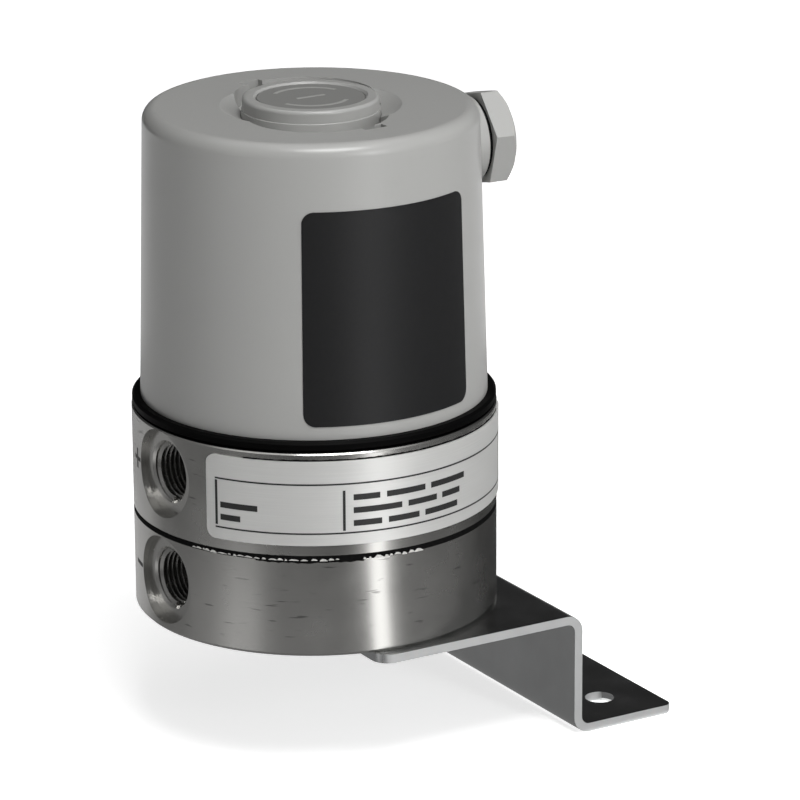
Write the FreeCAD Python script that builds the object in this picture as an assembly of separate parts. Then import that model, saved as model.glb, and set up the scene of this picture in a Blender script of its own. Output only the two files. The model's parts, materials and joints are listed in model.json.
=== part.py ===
import FreeCAD, Part
import math
import os

# Differential pressure transmitter: two turned pressure chambers with a rubber
# diaphragm between them, a ceramic beam that the diaphragm's rod pushes, a round
# circuit board under a moulded cover, and a bent sheet bracket under the lot.
#
# Millimetres. While it is modelled, the body's axis is Z and z = 0 is the underside
# of the lower chamber. Each piece is then moved so that the row's origin lies
# between the two holes of the bracket's foot, on the foot's underside.
# +X runs along the bracket towards its foot, -Y is the front with the panel.

Vector = FreeCAD.Vector
UP = Vector(0, 0, 1)
CENTRE = Vector(0, 0, 0)

# Fits between pieces, and how much of a screw head's height is bevelled
running_gap = 0.08
seat_gap = 0.3
slip_gap = 0.05
head_edge_share = 0.35

# Pressure chambers, turned from brass bar
chamber_r = 30.5
lower_h = 17.0
upper_h = 18.0
seam_chamfer = 0.5
base_chamfer = 0.6
top_chamfer = 0.4

# Ports: threaded holes with a spot-faced mouth, one above the other
port_azimuth = 184.0
lower_port_z = 8.85
upper_port_z = 27.3
port_thread_r = 4.864
port_mouth_r = 5.25
spot_face_r = 7.45
spot_face_reach = 28.7
port_depth = 11.0
drill_tip_deg = 118.0
pilot_r = 1.6
pilot_reach = 11.9
passage_r = 1.2
passage_reach = 13.7

# Diaphragm and the hollow on each side of it
hollow_r = 17.0
hollow_depth = 3.0
diaphragm_r = 20.0
diaphragm_t = 0.5
wave_inner_r = 11.0
wave_outer_r = 15.5
wave_h = 1.2
wave_crest = 1.4
support_r = 9.0
support_t = 1.0
rod_r = 0.8
rod_tail = 1.9
rod_nut_flats = 3.2
rod_nut_t = 1.2

# Sensor pocket and the beam in it
pocket_r = 10.0
pocket_floor_rise = 6.0
rod_way_r = 5.0
carrier_t = 6.0
carrier_drop = 2.0
groove_w = 1.7
beam_l = 10.5
beam_w = 4.0
beam_t = 0.6
beam_overhang = 2.0
post_l = 3.0
post_h = 1.2
pin_r = 0.3
pin_pitch = 2.0
pin_count = 4
pin_y = 6.5
pin_proud = 5.5
pin_root = 3.0

# Clamp screws that hold the two chambers together, from below
clamp_screw_count = 4
clamp_screw_pcd_r = 25.0
clamp_screw_r = 2.0
clamp_head_r = 3.5
clamp_head_h = 4.0
clamp_head_sunk = 0.5
clamp_head_edge = 0.4
clamp_screw_reach = 28.0
clamp_key_flats = 3.0
clamp_key_depth = 2.0

# Retainer plate over the sensor, and the stud that the cover is held by
retainer_r = 15.0
retainer_t = 3.0
retainer_edge = 0.3
retainer_window = (9.0, 4.0)
retainer_screw_count = 3
retainer_screw_pcd_r = 12.4
retainer_screw_r = 1.25
retainer_head_r = 2.25
retainer_head_h = 1.6
retainer_screw_l = 6.0
stud_r = 3.0
stud_hex_flats = 8.0
stud_hex_h = 4.0
stud_top = 84.0
stud_lead = 0.8

# Spigot and gasket that the cover sits over
spigot_r = 24.5
spigot_wall = 1.9
spigot_h = 3.2
gasket_t = 1.7
gasket_r = 30.4
gasket_edge = 0.4
gasket_lip_h = 2.8

# Rating plate, stuck round the upper chamber
plate_t = 0.3
plate_h = 14.3
plate_rise = 2.3
plate_azimuth = -90.0
plate_half_deg = 64.6
plate_corner = 1.6

# Bracket, bent from sheet
sheet_t = 1.5
sheet_bend_r = 1.5
bracket_w = 64.2
flange_back = 6.2
web_reach = 32.9
bracket_drop = 21.4
foot_l = 18.4
foot_hole_from_web = 9.5
foot_hole_r = 2.5
foot_hole_spacing = 46.0
bracket_corner = 3.0
foot_corner = 1.5
bracket_screw_x = 5.0
bracket_screw_y = 14.0
bracket_screw_r = 2.0
bracket_screw_l = 8.0
bracket_head_r = 3.5
bracket_head_h = 2.6
washer_r = 4.5
washer_t = 0.8

# Moulded cover
cover_base_r = 29.0
cover_top_r = 27.7
cover_top_z = 85.2
cover_wall = 2.4
cover_round = 2.2
inner_edge = 1.0
rib_count = 6
rib_w = 1.2
rib_d = 1.2
rib_top_gap = 1.0
rib_base_z = 46.0

# Panel let into the front of the cover
panel_azimuth = -91.7
panel_half_deg = 31.4
panel_base_z = 38.9
panel_top_z = 74.4
panel_sunk = 0.35
panel_proud = 0.1
panel_corner = 2.0

# Knob in the top of the cover, with the hollows for the fingers beside it
knob_r = 11.3
knob_top_z = 86.7
knob_seat_z = 81.6
knob_edge = 0.6
cup_edge = 0.35
knob_cup_r = 9.05
knob_cup_depth = 1.7
knob_seal_t = 0.6
knob_seal_w = 3.0
hub_r = 6.1
hub_drop = 4.4
hub_thread_r = stud_r + running_gap
insert_t = 0.8
insert_ring_r = 8.2
insert_ring_w = 0.5
insert_ring_h = 0.25
clip_r = 8.0
clip_t = 0.8
clip_groove = 0.6
dish_r = 15.0
dish_z = 83.4
scoop_r = 11.6
scoop_offset = 7.4
scoop_azimuth = -113.0
scoop_z = 83.0
scoop_tilt_deg = 4.4
scoop_fall_azimuth = -30.0
scoop_floor_t = 2.2
slot_r = 18.6
slot_azimuth = -87.0
slot_size = (4.2, 1.9)
slot_depth = 3.6
notch_azimuth = 177.0
notch_size = (1.8, 1.3)
notch_depth = 3.0

# Cable entry in the side of the cover
entry_azimuth = -3.5
entry_z = 75.8
collar_r = 7.3
collar_reach = 29.5
entry_thread_r = 6.0
entry_inner_reach = 22.5
entry_lip = 2.0
entry_lip_r = 3.9
cable_way_r = 3.3
nut_flats = 15.0
nut_turn_deg = 12.8
nut_head_l = 4.1
nut_chamfer = 0.9
nut_mouth_edge = 0.5
entry_gasket_t = 0.7
entry_gasket_w = 0.9
rubber_l = 3.5
thrust_t = 0.8
thrust_bore_r = 3.6

# Circuit board on its standoffs
board_z = 50.0
board_t = 1.6
board_r = 21.5
board_bore_r = 4.5
standoff_count = 3
standoff_pcd_r = 19.0
standoff_flats = 5.0
standoff_screw_r = 1.25
standoff_stud_l = 5.0
board_head_r = 2.75
board_head_h = 2.0
board_screw_l = 6.0

# Parts on the board
block_centre = (11.5, 0.0)
block_size = (8.0, 15.2, 10.0)
block_ways = 3
block_pitch = 5.0
block_well_r = 1.95
block_screw_r = 1.7
block_mouth = (3.0, 3.4)
trimmer_side = 6.6
trimmer_h = 4.0
trimmer_rotor_r = 2.3
trimmer_rotor_h = 1.4
trimmer_places = {"zero_trimmer": (-0.6, -14.0), "span_trimmer": (7.8, -13.6)}
chip_centre = (-12.5, 0.0)
chip_size = (4.0, 10.0, 1.6)
chip_legs = 7
chip_leg_pitch = 1.27
capacitor_places = [(-1.5, 15.0), (6.5, 14.0)]
capacitor_r = 3.2
capacitor_h = 7.5
capacitor_edge = 0.5
small_places = [(-6.5, 9.0), (-9.5, 9.0), (-14.5, 8.5), (-6.0, -9.0), (-9.0, -9.5), (-13.5, -9.0)]
small_size = (1.3, 2.2, 0.6)
plug_size = (10.4, 2.8, 5.0)
ribbon_w = 8.0
ribbon_t = 0.3

# Heights and reaches that follow from the sizes above
seam_z = lower_h
o_ring_r = groove_w / 2 - slip_gap
o_ring_outer = pocket_r - slip_gap
groove_r = o_ring_outer - 2 * o_ring_r - slip_gap
chamber_top = lower_h + upper_h
cover_base_z = chamber_top + gasket_t
upper_hollow_top = seam_z + hollow_depth
pocket_floor = seam_z + pocket_floor_rise
carrier_top = chamber_top - carrier_drop
carrier_floor = carrier_top - carrier_t
beam_top = carrier_floor - post_h
retainer_top = chamber_top + retainer_t
plate_base_z = seam_z + plate_rise
hub_floor = knob_seat_z - hub_drop
board_top = board_z + board_t
foot_hole_reach = web_reach + foot_hole_from_web
origin_shift = Vector(-foot_hole_reach, 0, bracket_drop)


def disc(radius, low, high, x=0.0, y=0.0):
    """Upright round bar from one height to another."""
    return Part.makeCylinder(radius, high - low, Vector(x, y, low), UP)


def ring(inner, outer, low, high, x=0.0, y=0.0):
    """Flat ring or tube."""
    return disc(outer, low, high, x, y).cut(disc(inner, low, high, x, y))


def block(size, low, x=0.0, y=0.0):
    """Box of a given length, width and height, centred in plan on x and y."""
    length, width, height = size
    return Part.makeBox(length, width, height, Vector(x - length / 2, y - width / 2, low))


def hexagon(flats, low, high, x=0.0, y=0.0, turn=0.0):
    """Upright hexagonal bar."""
    corner_r = flats / math.sqrt(3)
    angles = [math.radians(turn + 60 * k) for k in range(7)]
    corners = [Vector(x + corner_r * math.cos(a), y + corner_r * math.sin(a), low) for a in angles]
    return Part.Face(Part.makePolygon(corners)).extrude(Vector(0, 0, high - low))


def turned(outline):
    """Solid of revolution about Z from a closed outline of (radius, height) points."""
    points = [Vector(r, 0, z) for r, z in outline]
    face = Part.Face(Part.makePolygon(points + points[:1]))
    return face.revolve(CENTRE, UP, 360)


def round_at(azimuth, shape):
    """The shape turned about the body's axis."""
    copy = shape.copy()
    copy.rotate(CENTRE, UP, azimuth)
    return copy


def lay_out(shape, azimuth, height):
    """Turn a shape built up along Z so that it points outwards at an azimuth and height."""
    copy = shape.copy()
    copy.rotate(CENTRE, Vector(0, 1, 0), 90)
    copy.translate(Vector(0, 0, height))
    return round_at(azimuth, copy)


def polar(radius, azimuth):
    """Plan position of a point given by radius and azimuth."""
    angle = math.radians(azimuth)
    return radius * math.cos(angle), radius * math.sin(angle)


def spread(count, radius, first):
    """Plan positions of a ring of like things."""
    return [polar(radius, first + 360 * k / count) for k in range(count)]


def fused(shapes):
    """One solid from touching shapes."""
    return shapes[0].multiFuse(shapes[1:]).removeSplitter()


def group(shapes):
    """Separate like solids that share a file."""
    return Part.makeCompound(shapes)


def clamp_screw_places():
    return spread(clamp_screw_count, clamp_screw_pcd_r, port_azimuth + 45)


def standoff_places():
    return spread(standoff_count, standoff_pcd_r, port_azimuth + 60)


def retainer_screw_places():
    return spread(retainer_screw_count, retainer_screw_pcd_r, port_azimuth + 30)


def bracket_screw_places():
    return [(bracket_screw_x, -bracket_screw_y), (bracket_screw_x, bracket_screw_y)]


def port_cut(height, hollow_face):
    """Everything that one port takes out of its chamber, down to the hollow's face."""
    floor = spot_face_reach - port_depth
    tip = (port_thread_r - pilot_r) / math.tan(math.radians(drill_tip_deg / 2))
    chamfer = port_mouth_r - port_thread_r
    cuts = [
        disc(spot_face_r, spot_face_reach, chamber_r + 2),
        disc(port_thread_r, floor, spot_face_reach),
        Part.makeCone(pilot_r, port_thread_r, tip, Vector(0, 0, floor - tip), UP),
        disc(pilot_r, pilot_reach, floor),
        Part.makeCone(port_thread_r, port_mouth_r, chamfer, Vector(0, 0, spot_face_reach - chamfer), UP),
    ]
    opened = lay_out(fused(cuts), port_azimuth, height)
    x, y = polar(passage_reach, port_azimuth)
    low, high = sorted((height, hollow_face))
    return opened.fuse(disc(passage_r, low, high, x, y))


def lower_chamber():
    body = turned([
        (0, 0), (chamber_r - base_chamfer, 0), (chamber_r, base_chamfer),
        (chamber_r, seam_z - seam_chamfer), (chamber_r - seam_chamfer, seam_z),
        (diaphragm_r, seam_z), (diaphragm_r, seam_z - diaphragm_t),
        (hollow_r, seam_z - diaphragm_t), (hollow_r, seam_z - diaphragm_t - hollow_depth),
        (0, seam_z - diaphragm_t - hollow_depth),
    ])
    cuts = [port_cut(lower_port_z, seam_z - diaphragm_t - hollow_depth)]
    sunk = clamp_head_h + clamp_head_sunk
    for x, y in clamp_screw_places():
        cuts.append(disc(clamp_head_r + seat_gap, 0, sunk, x, y))
        cuts.append(disc(clamp_screw_r + seat_gap, sunk, seam_z, x, y))
    for x, y in bracket_screw_places():
        cuts.append(disc(bracket_screw_r + slip_gap, 0, bracket_screw_l, x, y))
    return body.cut(cuts)


def upper_chamber():
    body = turned([
        (0, upper_hollow_top), (hollow_r, upper_hollow_top), (hollow_r, seam_z),
        (chamber_r - seam_chamfer, seam_z), (chamber_r, seam_z + seam_chamfer),
        (chamber_r, chamber_top - top_chamfer), (chamber_r - top_chamfer, chamber_top),
        (spigot_r, chamber_top), (spigot_r, chamber_top + spigot_h),
        (spigot_r - spigot_wall, chamber_top + spigot_h), (spigot_r - spigot_wall, chamber_top),
        (0, chamber_top),
    ])
    cuts = [
        port_cut(upper_port_z, upper_hollow_top),
        disc(rod_way_r, upper_hollow_top, pocket_floor),
        disc(pocket_r, pocket_floor, chamber_top),
    ]
    for x, y in clamp_screw_places():
        cuts.append(disc(clamp_screw_r + slip_gap, seam_z, clamp_screw_reach + 1, x, y))
    for x, y in retainer_screw_places():
        depth = retainer_screw_l - retainer_t + 1
        cuts.append(disc(retainer_screw_r + slip_gap, chamber_top - depth, chamber_top, x, y))
    for x, y in standoff_places():
        cuts.append(disc(standoff_screw_r + slip_gap, chamber_top - standoff_stud_l, chamber_top, x, y))
    return body.cut(cuts)


def diaphragm():
    """Moulded rubber disc with one raised wave, held all round between the chambers."""
    low = seam_z - diaphragm_t
    inner = rod_r + slip_gap
    outer = diaphragm_r - slip_gap
    middle = (wave_inner_r + wave_outer_r) / 2
    return turned([
        (inner, low), (inner, seam_z), (wave_inner_r, seam_z),
        (middle - wave_crest / 2, seam_z + wave_h), (middle + wave_crest / 2, seam_z + wave_h),
        (wave_outer_r, seam_z), (outer, seam_z), (outer, low), (wave_outer_r - diaphragm_t, low),
        (middle + wave_crest / 2 - diaphragm_t, low + wave_h),
        (middle - wave_crest / 2 + diaphragm_t, low + wave_h), (wave_inner_r + diaphragm_t, low),
    ])


def support_plate(low):
    rim = 0.2
    return turned([
        (rod_r + slip_gap, low), (support_r - rim, low), (support_r, low + rim),
        (support_r, low + support_t - rim), (support_r - rim, low + support_t),
        (rod_r + slip_gap, low + support_t),
    ])


def push_rod():
    low = seam_z - diaphragm_t - support_t - rod_tail
    shoulder = seam_z + support_t
    rod = disc(rod_r, low, beam_top - beam_t)
    collar = disc(rod_r * 2, shoulder, shoulder + 0.8)
    return fused([rod, collar])


def rod_nut():
    top = seam_z - diaphragm_t - support_t
    nut = hexagon(rod_nut_flats, top - rod_nut_t, top)
    return nut.cut(disc(rod_r + slip_gap, top - rod_nut_t, top))


def sensor_carrier():
    """Disc that closes the pocket, with the post that the beam is bonded to."""
    r = pocket_r - slip_gap
    middle = (carrier_floor + carrier_top) / 2
    body = turned([
        (0, carrier_floor), (r, carrier_floor), (r, middle - groove_w / 2),
        (groove_r, middle - groove_w / 2), (groove_r, middle + groove_w / 2),
        (r, middle + groove_w / 2), (r, carrier_top), (0, carrier_top),
    ])
    x = beam_overhang - beam_l + post_l / 2
    post = block((post_l, beam_w, post_h), beam_top, x)
    pins = [disc(pin_r + slip_gap, carrier_top - pin_root, carrier_top, px, pin_y) for px in pin_xs()]
    return fused([body, post]).cut(pins)


def sensor_o_ring():
    """Rubber ring in the carrier's groove, with its section squashed to eight flats."""
    middle = (carrier_floor + carrier_top) / 2
    flat = o_ring_r * math.tan(math.radians(22.5))
    reach = o_ring_outer - o_ring_r
    corners = [(o_ring_r, -flat), (o_ring_r, flat), (flat, o_ring_r), (-flat, o_ring_r),
               (-o_ring_r, flat), (-o_ring_r, -flat), (-flat, -o_ring_r), (flat, -o_ring_r)]
    return turned([(reach + x, middle + z) for x, z in corners])


def ceramic_beam():
    x = beam_overhang - beam_l / 2
    return block((beam_l, beam_w, beam_t), beam_top - beam_t, x)


def pin_xs():
    return [pin_pitch * (k - (pin_count - 1) / 2) for k in range(pin_count)]


def sensor_pins():
    low = carrier_top - pin_root
    return group([disc(pin_r, low, carrier_top + pin_proud, x, pin_y) for x in pin_xs()])


def retainer_plate():
    """Steel plate that presses the carrier down and holds the centre stud."""
    press = disc(pocket_r - seat_gap, carrier_top, chamber_top)
    plate = fused([disc(retainer_r, chamber_top, retainer_top), press])
    plate = plate.makeChamfer(retainer_edge, rim_edges(plate, retainer_top))
    length, width = retainer_window
    cuts = [
        block((length, width, retainer_t + carrier_drop), carrier_top, 0, pin_y),
        disc(stud_r + slip_gap, carrier_top, retainer_top),
    ]
    for x, y in retainer_screw_places():
        cuts.append(disc(retainer_screw_r + slip_gap, chamber_top, retainer_top, x, y))
    return plate.cut(cuts)


def cross_slot(head_r, top, x, y):
    """Cross recess in a screw head."""
    width = head_r * 0.28
    length = head_r * 1.1
    depth = head_r * 0.35
    low = top - depth
    return fused([block((length, width, depth), low, x, y), block((width, length, depth), low, x, y)])


def pan_screw(shank_r, head_r, head_h, length, seat, x, y):
    """Pan-head screw driven from above, its head on the seat height."""
    head = disc(head_r, seat, seat + head_h, x, y)
    head = head.makeChamfer(head_h * head_edge_share, rim_edges(head, seat + head_h))
    screw = fused([head, disc(shank_r, seat - length, seat, x, y)])
    return screw.cut(cross_slot(head_r, seat + head_h, x, y))


def retainer_screws():
    screws = []
    for x, y in retainer_screw_places():
        screws.append(pan_screw(retainer_screw_r, retainer_head_r, retainer_head_h,
                                retainer_screw_l, retainer_top, x, y))
    return group(screws)


def centre_stud():
    """Hexagon-based stud: screwed into the retainer, threaded at its top for the knob."""
    base = hexagon(stud_hex_flats, retainer_top, retainer_top + stud_hex_h)
    shank = turned([
        (0, carrier_top), (stud_r, carrier_top), (stud_r, stud_top - stud_lead),
        (stud_r - stud_lead, stud_top), (0, stud_top),
    ])
    return fused([base, shank])


def clamp_screws():
    """Socket-head screws, heads sunk in the underside."""
    screws = []
    for x, y in clamp_screw_places():
        top = clamp_head_sunk + clamp_head_h
        head = disc(clamp_head_r, clamp_head_sunk, top, x, y)
        head = head.makeChamfer(clamp_head_edge, rim_edges(head, clamp_head_sunk))
        screw = fused([head, disc(clamp_screw_r, top, clamp_screw_reach, x, y)])
        key = hexagon(clamp_key_flats, clamp_head_sunk, clamp_head_sunk + clamp_key_depth, x, y)
        screws.append(screw.cut(key))
    return group(screws)


def cover_gasket():
    """Black seal: a flat ring under the cover's rim and a lip inside its wall."""
    low, high = chamber_top, cover_base_z
    inner = spigot_r + slip_gap
    lip_r = cover_base_r - cover_wall - seat_gap
    return turned([
        (inner, low), (gasket_r - gasket_edge, low), (gasket_r, low + gasket_edge),
        (gasket_r, high - gasket_edge), (gasket_r - gasket_edge, high), (lip_r, high),
        (lip_r, high + gasket_lip_h), (inner, high + gasket_lip_h),
    ])


def corner_cutter(radius, azimuth, height, corner, side, up):
    """Radial bar that cuts one corner of a curved plate to a quarter round."""
    size = 1.5 * corner
    reach = 6 * plate_t
    square = Part.makeBox(2 * reach, size, size, Vector(radius - reach, min(0, side * size), min(0, up * size)))
    round_bar = Part.makeCylinder(corner, 2 * reach, Vector(radius - reach, 0, 0), Vector(1, 0, 0))
    cutter = square.cut(round_bar)
    cutter.translate(Vector(0, 0, height - up * corner))
    return round_at(azimuth - side * math.degrees(corner / radius), cutter)


def curved_plate(shell, azimuth, half_deg, low, high, corner, radius):
    """Piece of a thin shell of revolution between two azimuths, with rounded corners."""
    sector = Part.makeCylinder(radius + 5, high - low, Vector(0, 0, low), UP, 2 * half_deg)
    plate = shell.common(round_at(azimuth - half_deg, sector))
    cutters = []
    for side in (-1, 1):
        for up in (-1, 1):
            edge_z = high if up > 0 else low
            cutters.append(corner_cutter(radius, azimuth + side * half_deg, edge_z, corner, side, up))
    return plate.cut(cutters)


def rating_plate():
    shell = ring(chamber_r, chamber_r + plate_t, plate_base_z, plate_base_z + plate_h)
    return curved_plate(shell, plate_azimuth, plate_half_deg, plate_base_z,
                        plate_base_z + plate_h, plate_corner, chamber_r)


def sheet_path():
    """Side view of the bent sheet as (x, z) points of its upper and outer skin."""
    floor = -bracket_drop
    return floor, web_reach, web_reach + foot_l


def bracket():
    """Flange under the chambers, web down, foot outwards: one sheet with two bends."""
    floor, web_out, foot_end = sheet_path()
    flange = Part.makeBox(web_out + flange_back, bracket_w, sheet_t,
                          Vector(-flange_back, -bracket_w / 2, -sheet_t))
    web = Part.makeBox(sheet_t, bracket_w, bracket_drop, Vector(web_out - sheet_t, -bracket_w / 2, floor))
    foot = Part.makeBox(foot_end - web_out + sheet_t, bracket_w, sheet_t,
                        Vector(web_out - sheet_t, -bracket_w / 2, floor))
    sheet = fused([flange, web, foot])
    outer = sheet_bend_r + sheet_t
    sheet = sheet.makeFillet(outer, edges_along_y(sheet, web_out, 0))
    sheet = sheet.makeFillet(sheet_bend_r, edges_along_y(sheet, web_out - sheet_t, -sheet_t))
    sheet = sheet.makeFillet(outer, edges_along_y(sheet, web_out - sheet_t, floor))
    sheet = sheet.makeFillet(sheet_bend_r, edges_along_y(sheet, web_out, floor + sheet_t))
    sheet = sheet.makeFillet(bracket_corner, upright_edges(sheet, -flange_back))
    sheet = sheet.makeFillet(foot_corner, upright_edges(sheet, foot_end))
    cuts = [disc(bracket_screw_r + seat_gap, -sheet_t, 0, x, y) for x, y in bracket_screw_places()]
    for side in (-1, 1):
        cuts.append(disc(foot_hole_r, floor, floor + sheet_t, foot_hole_reach, side * foot_hole_spacing / 2))
    return sheet.cut(cuts)


def edges_along_y(shape, x, z):
    """Long edges of the bracket at one place of its side view."""
    found = []
    for edge in shape.Edges:
        box = edge.BoundBox
        on_x = abs(box.XMin - x) < 0.01 and abs(box.XMax - x) < 0.01
        on_z = abs(box.ZMin - z) < 0.01 and abs(box.ZMax - z) < 0.01
        if on_x and on_z and box.YLength > bracket_w / 2:
            found.append(edge)
    return found


def upright_edges(shape, x):
    """Short upright edges at one end of the sheet."""
    found = []
    for edge in shape.Edges:
        box = edge.BoundBox
        if abs(box.XMin - x) < 0.01 and box.XLength < 0.01 and box.YLength < 0.01 and box.ZLength > 1:
            found.append(edge)
    return found


def bracket_washers():
    top = -sheet_t
    return group([ring(bracket_screw_r + slip_gap, washer_r, top - washer_t, top, x, y)
                  for x, y in bracket_screw_places()])


def bracket_screws():
    screws = []
    for x, y in bracket_screw_places():
        seat = sheet_t + washer_t
        screw = pan_screw(bracket_screw_r, bracket_head_r, bracket_head_h,
                          bracket_screw_l + seat - 1, seat, x, -y)
        screw.rotate(CENTRE, Vector(1, 0, 0), 180)
        screws.append(screw)
    return group(screws)


def cover_r(z):
    """Outside radius of the tapered cover at a height."""
    return cover_base_r + (cover_top_r - cover_base_r) * (z - cover_base_z) / (cover_top_z - cover_base_z)


def entry_bar(radius, low, high):
    """Round bar along the cable entry's axis, by distance from the body's axis."""
    return lay_out(disc(radius, low, high), entry_azimuth, entry_z)


def tilted_scoop(depth_below, radius, flip):
    """Round cutter with a sloping floor, for the hollow beside the knob."""
    x, y = polar(scoop_offset, scoop_azimuth)
    cutter = disc(radius, scoop_z - depth_below, cover_top_z + 6, x, y)
    across = scoop_fall_azimuth + 90
    cutter.rotate(Vector(x, y, scoop_z - depth_below), Vector(*polar(1, across), 0), scoop_tilt_deg)
    return round_at(180, cutter) if flip else cutter


def cover():
    roof = cover_top_z - cover_wall
    outer = turned([(0, cover_base_z), (cover_base_r, cover_base_z), (cover_top_r, cover_top_z), (0, cover_top_z)])
    outer = outer.makeFillet(cover_round, rim_edges(outer, cover_top_z))
    inner = turned([
        (0, cover_base_z), (cover_base_r - cover_wall, cover_base_z),
        (cover_r(roof - inner_edge) - cover_wall, roof - inner_edge),
        (cover_r(roof) - cover_wall - inner_edge, roof), (0, roof),
    ])
    trough = disc(scoop_r + cover_wall, knob_seat_z - scoop_floor_t, roof)
    ends = []
    for side in (0, 180):
        x, y = polar(scoop_offset, scoop_azimuth + side)
        ends.append(disc(scoop_r + cover_wall, knob_seat_z - scoop_floor_t, roof, x, y))
    ribs = []
    for k in range(rib_count):
        reach = cover_r(rib_base_z)
        rib = Part.makeBox(cover_wall + rib_d, rib_w, roof - rib_top_gap - rib_base_z,
                           Vector(reach - cover_wall - rib_d, -rib_w / 2, rib_base_z))
        ribs.append(round_at(entry_azimuth + 30 + 360 * k / rib_count, rib))
    boss = entry_bar(collar_r, entry_inner_reach - entry_lip, collar_reach)
    trough = fused([trough] + ends).common(outer)
    solid = fused([outer.cut(inner), trough, boss] + [rib.common(outer) for rib in ribs])
    length, width = slot_size
    notch_l, notch_w = notch_size
    sx, sy = polar(slot_r, 0)
    nx, ny = polar(scoop_r + notch_w / 2 - seat_gap, 0)
    slot = block((width, length, slot_depth + 2), scoop_z - slot_depth + 1, sx, sy)
    notch = block((notch_w, notch_l, notch_depth + 2), scoop_z - notch_depth + 1, nx, ny)
    cuts = [
        disc(scoop_r, knob_seat_z, cover_top_z + 2),
        Part.makeCone(scoop_r, dish_r, cover_top_z - dish_z, Vector(0, 0, dish_z), UP),
        tilted_scoop(0, scoop_r, False),
        tilted_scoop(0, scoop_r, True),
        disc(hub_r + seat_gap, knob_seat_z - 6, cover_top_z),
        entry_bar(entry_thread_r, entry_inner_reach, collar_reach + 2),
        entry_bar(entry_lip_r, entry_inner_reach - entry_lip, entry_inner_reach),
        panel(panel_sunk + 1),
    ]
    for side in (0, 180):
        cuts.append(round_at(slot_azimuth + side, slot))
        cuts.append(round_at(notch_azimuth + side, notch))
    return solid.cut(cuts)


def rim_edges(shape, z, radius=None):
    """Full circles of a turned shape at one height, or only the one of a given radius."""
    found = []
    for edge in shape.Edges:
        box = edge.BoundBox
        level = abs(box.ZMin - z) < 0.01 and box.ZLength < 0.01
        if level and (radius is None or abs(box.XLength - 2 * radius) < 0.01):
            found.append(edge)
    return found


def cone_shell(depth, proud):
    """Thin shell that follows the cover's taper."""
    low, high = cover_base_z, cover_top_z - cover_round
    return turned([
        (cover_r(low) - depth, low), (cover_r(low) + proud, low),
        (cover_r(high) + proud, high), (cover_r(high) - depth, high),
    ])


def panel(proud):
    """The panel's outline in a shell that starts at its seat and stands this proud."""
    shell = cone_shell(panel_sunk, proud)
    middle = cover_r((panel_base_z + panel_top_z) / 2)
    return curved_plate(shell, panel_azimuth, panel_half_deg, panel_base_z, panel_top_z, panel_corner, middle)


def cover_knob():
    """Round nut with a cup in its top and a threaded hub through the cover's roof."""
    low = knob_seat_z + knob_seal_t
    cup = knob_top_z - knob_cup_depth
    groove_top = clip_seat() + clip_t + slip_gap
    body = turned([
        (hub_thread_r, hub_floor), (hub_r, hub_floor), (hub_r, clip_seat()),
        (hub_r - clip_groove, clip_seat()), (hub_r - clip_groove, groove_top),
        (hub_r, groove_top), (hub_r, low), (knob_r, low), (knob_r, knob_top_z),
        (knob_cup_r + cup_edge, knob_top_z), (knob_cup_r, knob_top_z - cup_edge), (knob_cup_r, cup),
        (0, cup), (0, stud_top + seat_gap), (hub_thread_r, stud_top + seat_gap),
    ])
    return body.makeFillet(knob_edge, rim_edges(body, knob_top_z, knob_r))


def clip_seat():
    """Height of the retaining clip's underside, just under the cover's trough."""
    return knob_seat_z - scoop_floor_t - seat_gap - clip_t


def knob_clip():
    """Open retaining ring in the hub's groove, which keeps the knob in the cover."""
    clip = ring(hub_r - clip_groove + slip_gap, clip_r, clip_seat(), clip_seat() + clip_t)
    mouth = block((clip_r * 2, hub_r * 1.1, clip_t), clip_seat(), clip_r)
    return clip.cut(mouth)


def knob_seal():
    return ring(knob_r - knob_seal_w, knob_r, knob_seat_z, knob_seat_z + knob_seal_t)


def knob_insert():
    """Disc in the knob's cup with a raised ring and two plain grip bars."""
    low = knob_top_z - knob_cup_depth
    top = low + insert_t
    base = disc(knob_cup_r - slip_gap, low, top)
    raised = ring(insert_ring_r - insert_ring_w, insert_ring_r, top, top + insert_ring_h)
    bars = []
    for side in (-1, 1):
        arc = ring(3.2, 4.6, top, top + insert_ring_h)
        bars.append(arc.cut(block((9.2, 3.2, insert_ring_h), top, 0, 0)).common(
            block((20, 10, insert_ring_h), top, 0, side * 5)))
    return fused([base, raised] + bars)


def entry_gasket():
    outer = entry_thread_r + entry_gasket_w
    tube = ring(entry_thread_r, outer, collar_reach, collar_reach + entry_gasket_t)
    return lay_out(tube, entry_azimuth, entry_z)


def entry_rubber():
    """Rubber ring that the nut squeezes round the cable."""
    low = entry_inner_reach
    tube = ring(cable_way_r, entry_thread_r - slip_gap, low, low + rubber_l)
    return lay_out(tube, entry_azimuth, entry_z)


def thrust_washer():
    low = entry_inner_reach + rubber_l
    tube = ring(thrust_bore_r, entry_thread_r - slip_gap, low, low + thrust_t)
    return lay_out(tube, entry_azimuth, entry_z)


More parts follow.
